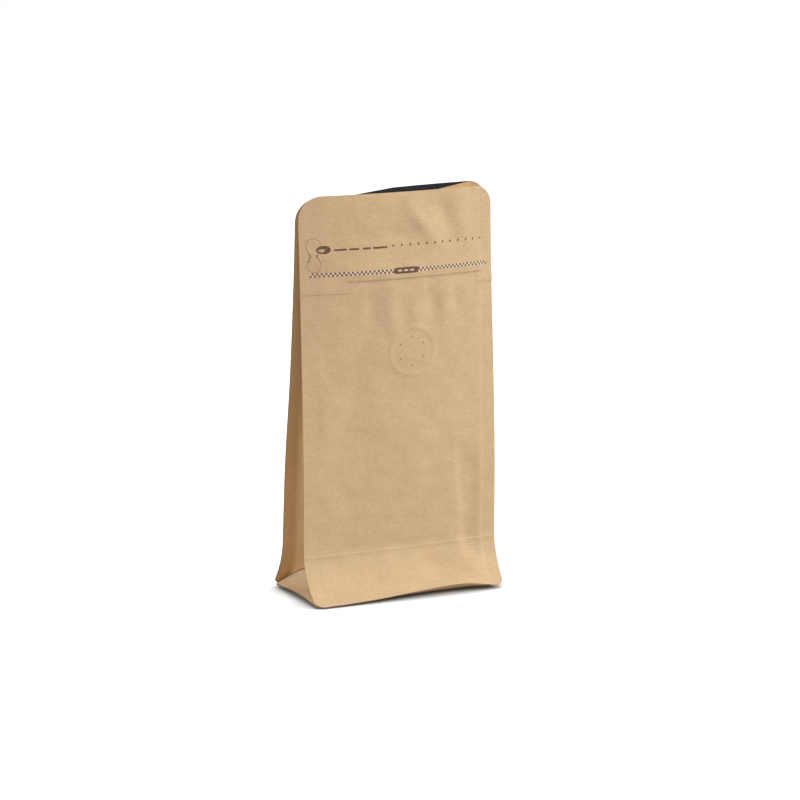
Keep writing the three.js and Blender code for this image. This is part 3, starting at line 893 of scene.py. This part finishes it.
def plastic_material(name, color, roughness, repeats, detail, strength):
    """Dark plastic with a fine grain or streaks."""
    material, tree, shader = new_material(name, color, roughness)
    place = tree.nodes.new("ShaderNodeTexCoord")
    grain = use(tree, PLASTIC_GRAIN)
    grain.inputs["Repeats"].default_value = repeats
    grain.inputs["Detail"].default_value = detail
    tree.links.new(place.outputs["Object"], grain.inputs["Place"])
    roughen(tree, shader, grain.outputs["Height"], strength=strength, depth=0.05)
    return material


def refinish(node, material):
    """A frame node whose shape is right gets a better material."""
    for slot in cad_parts[node].material_slots:
        slot.material = material


refinish("valve", plastic_material(
    "valve_plastic_look", (0.05, 0.05, 0.055, 1), roughness=0.42,
    repeats=(900, 900, 900), detail=3, strength=0.2))


# ------------------------------------------------------------------ zipper
# Press-to-close tape of dark extruded plastic with two ribs, bonded behind the front panel under
# the printed strip. The frame's own shape is kept, and fine streaks run along the tape.

refinish("zipper", plastic_material(
    "zipper_plastic_look", (0.07, 0.07, 0.075, 1), roughness=0.33,
    repeats=(70, 700, 700), detail=2, strength=0.25))


# ------------------------------------------------------------------ floor, light and camera
# A plain white floor under soft studio light, brightest from the front right, with a weak lamp
# behind the bag.

WHITE = (1, 1, 1, 1)


def white_floor():
    """Plain floor, white to the eye; it throws less light back, so that the sheets stay modelled.
    A painted glow of its own, seen only by the camera, whitens it and keeps the bag's shadow faint;
    the glow fades where the bag stands close over it, leaving a painted contact shade under the bag."""
    mesh = bpy.data.meshes.new("floor")
    reach = 6.0
    corners = [(-reach, -reach, 0), (reach, -reach, 0), (reach, reach, 0), (-reach, reach, 0)]
    mesh.from_pydata(corners, [], [(0, 1, 2, 3)])
    floor = bpy.data.objects.new("floor", mesh)
    floor.location.z = -0.2 * MM
    bpy.context.scene.collection.objects.link(floor)
    material, tree, shader = new_material("white_paper_floor", (0.95, 0.95, 0.95, 1), 0.9)
    shader.inputs["Specular IOR Level"].default_value = 0.0
    path = tree.nodes.new("ShaderNodeLightPath")
    seen = path.outputs["Is Camera Ray"]
    shade = mixed(tree, seen, (0.55, 0.53, 0.50, 1), (0.5, 0.5, 0.5, 1))
    tree.links.new(shade, shader.inputs["Base Color"])
    shader.inputs["Emission Color"].default_value = WHITE
    # Ambient occlusion fades the camera-only glow near the bag: painted contact shade on the floor under
    # it.
    open_sky = tree.nodes.new("ShaderNodeAmbientOcclusion")
    open_sky.inputs["Distance"].default_value = 22 * MM
    open_sky.samples = 4
    clear = both(tree, open_sky.outputs["AO"], open_sky.outputs["AO"])
    glow = both(tree, seen, calc(tree, "MULTIPLY", clear, 0.8))
    tree.links.new(glow, shader.inputs["Emission Strength"])
    mesh.materials.append(material)


def soft_sun(name, way, width, power):
    """Soft light from a distant source that lies in a direction from the bag."""
    data = bpy.data.lights.new(name, "SUN")
    data.angle = math.radians(width)
    data.energy = power
    lamp = bpy.data.objects.new(name, data)
    lamp.rotation_euler = Vector(way).to_track_quat("Z", "Y").to_euler()
    bpy.context.scene.collection.objects.link(lamp)


def room_light():
    """White to the eye, and dimmer as a light, so that the lamps model the sheets."""
    world = bpy.data.worlds.new("white_room")
    world.use_nodes = True
    tree = world.node_tree
    path = tree.nodes.new("ShaderNodeLightPath")
    level = tree.nodes.new("ShaderNodeMapRange")
    level.inputs["To Min"].default_value = 0.40
    level.inputs["To Max"].default_value = 1.0
    tree.links.new(path.outputs["Is Camera Ray"], level.inputs["Value"])
    tree.links.new(level.outputs[0], tree.nodes["Background"].inputs["Strength"])
    tree.nodes["Background"].inputs["Color"].default_value = WHITE
    bpy.context.scene.world = world


def view_camera():
    """A long lens, a little above the bag and to its front left."""
    azimuth = math.radians(26.67)
    elevation = math.radians(10.21)
    tilt = math.radians(0.36)
    away = 1.676
    target = Vector((0.00745, 0, 0.12357))
    back_way = Vector((-math.sin(azimuth) * math.cos(elevation),
                       -math.cos(azimuth) * math.cos(elevation), math.sin(elevation)))
    level = Vector((math.cos(azimuth), -math.sin(azimuth), 0))
    upright = back_way.cross(level)
    right = level * math.cos(tilt) + upright * math.sin(tilt)
    up = upright * math.cos(tilt) - level * math.sin(tilt)
    data = bpy.data.cameras.new("view")
    data.sensor_width = 36
    data.lens = 116.55
    data.clip_end = 50
    camera = bpy.data.objects.new("view", data)
    turned = Matrix((right, up, back_way)).transposed().to_4x4()
    camera.matrix_world = Matrix.Translation(target + back_way * away) @ turned
    bpy.context.scene.collection.objects.link(camera)
    bpy.context.scene.camera = camera


white_floor()
room_light()
soft_sun("key", (0.74, -0.42, 0.42), width=14, power=2.4)
soft_sun("top", (0.1, -0.15, 1.0), width=60, power=0.35)
soft_sun("fill", (-0.75, -0.5, 0.6), width=60, power=0.85)
soft_sun("back", (0.25, 0.9, 0.45), width=60, power=0.8)
view_camera()
bpy.context.scene.view_settings.view_transform = "Standard"
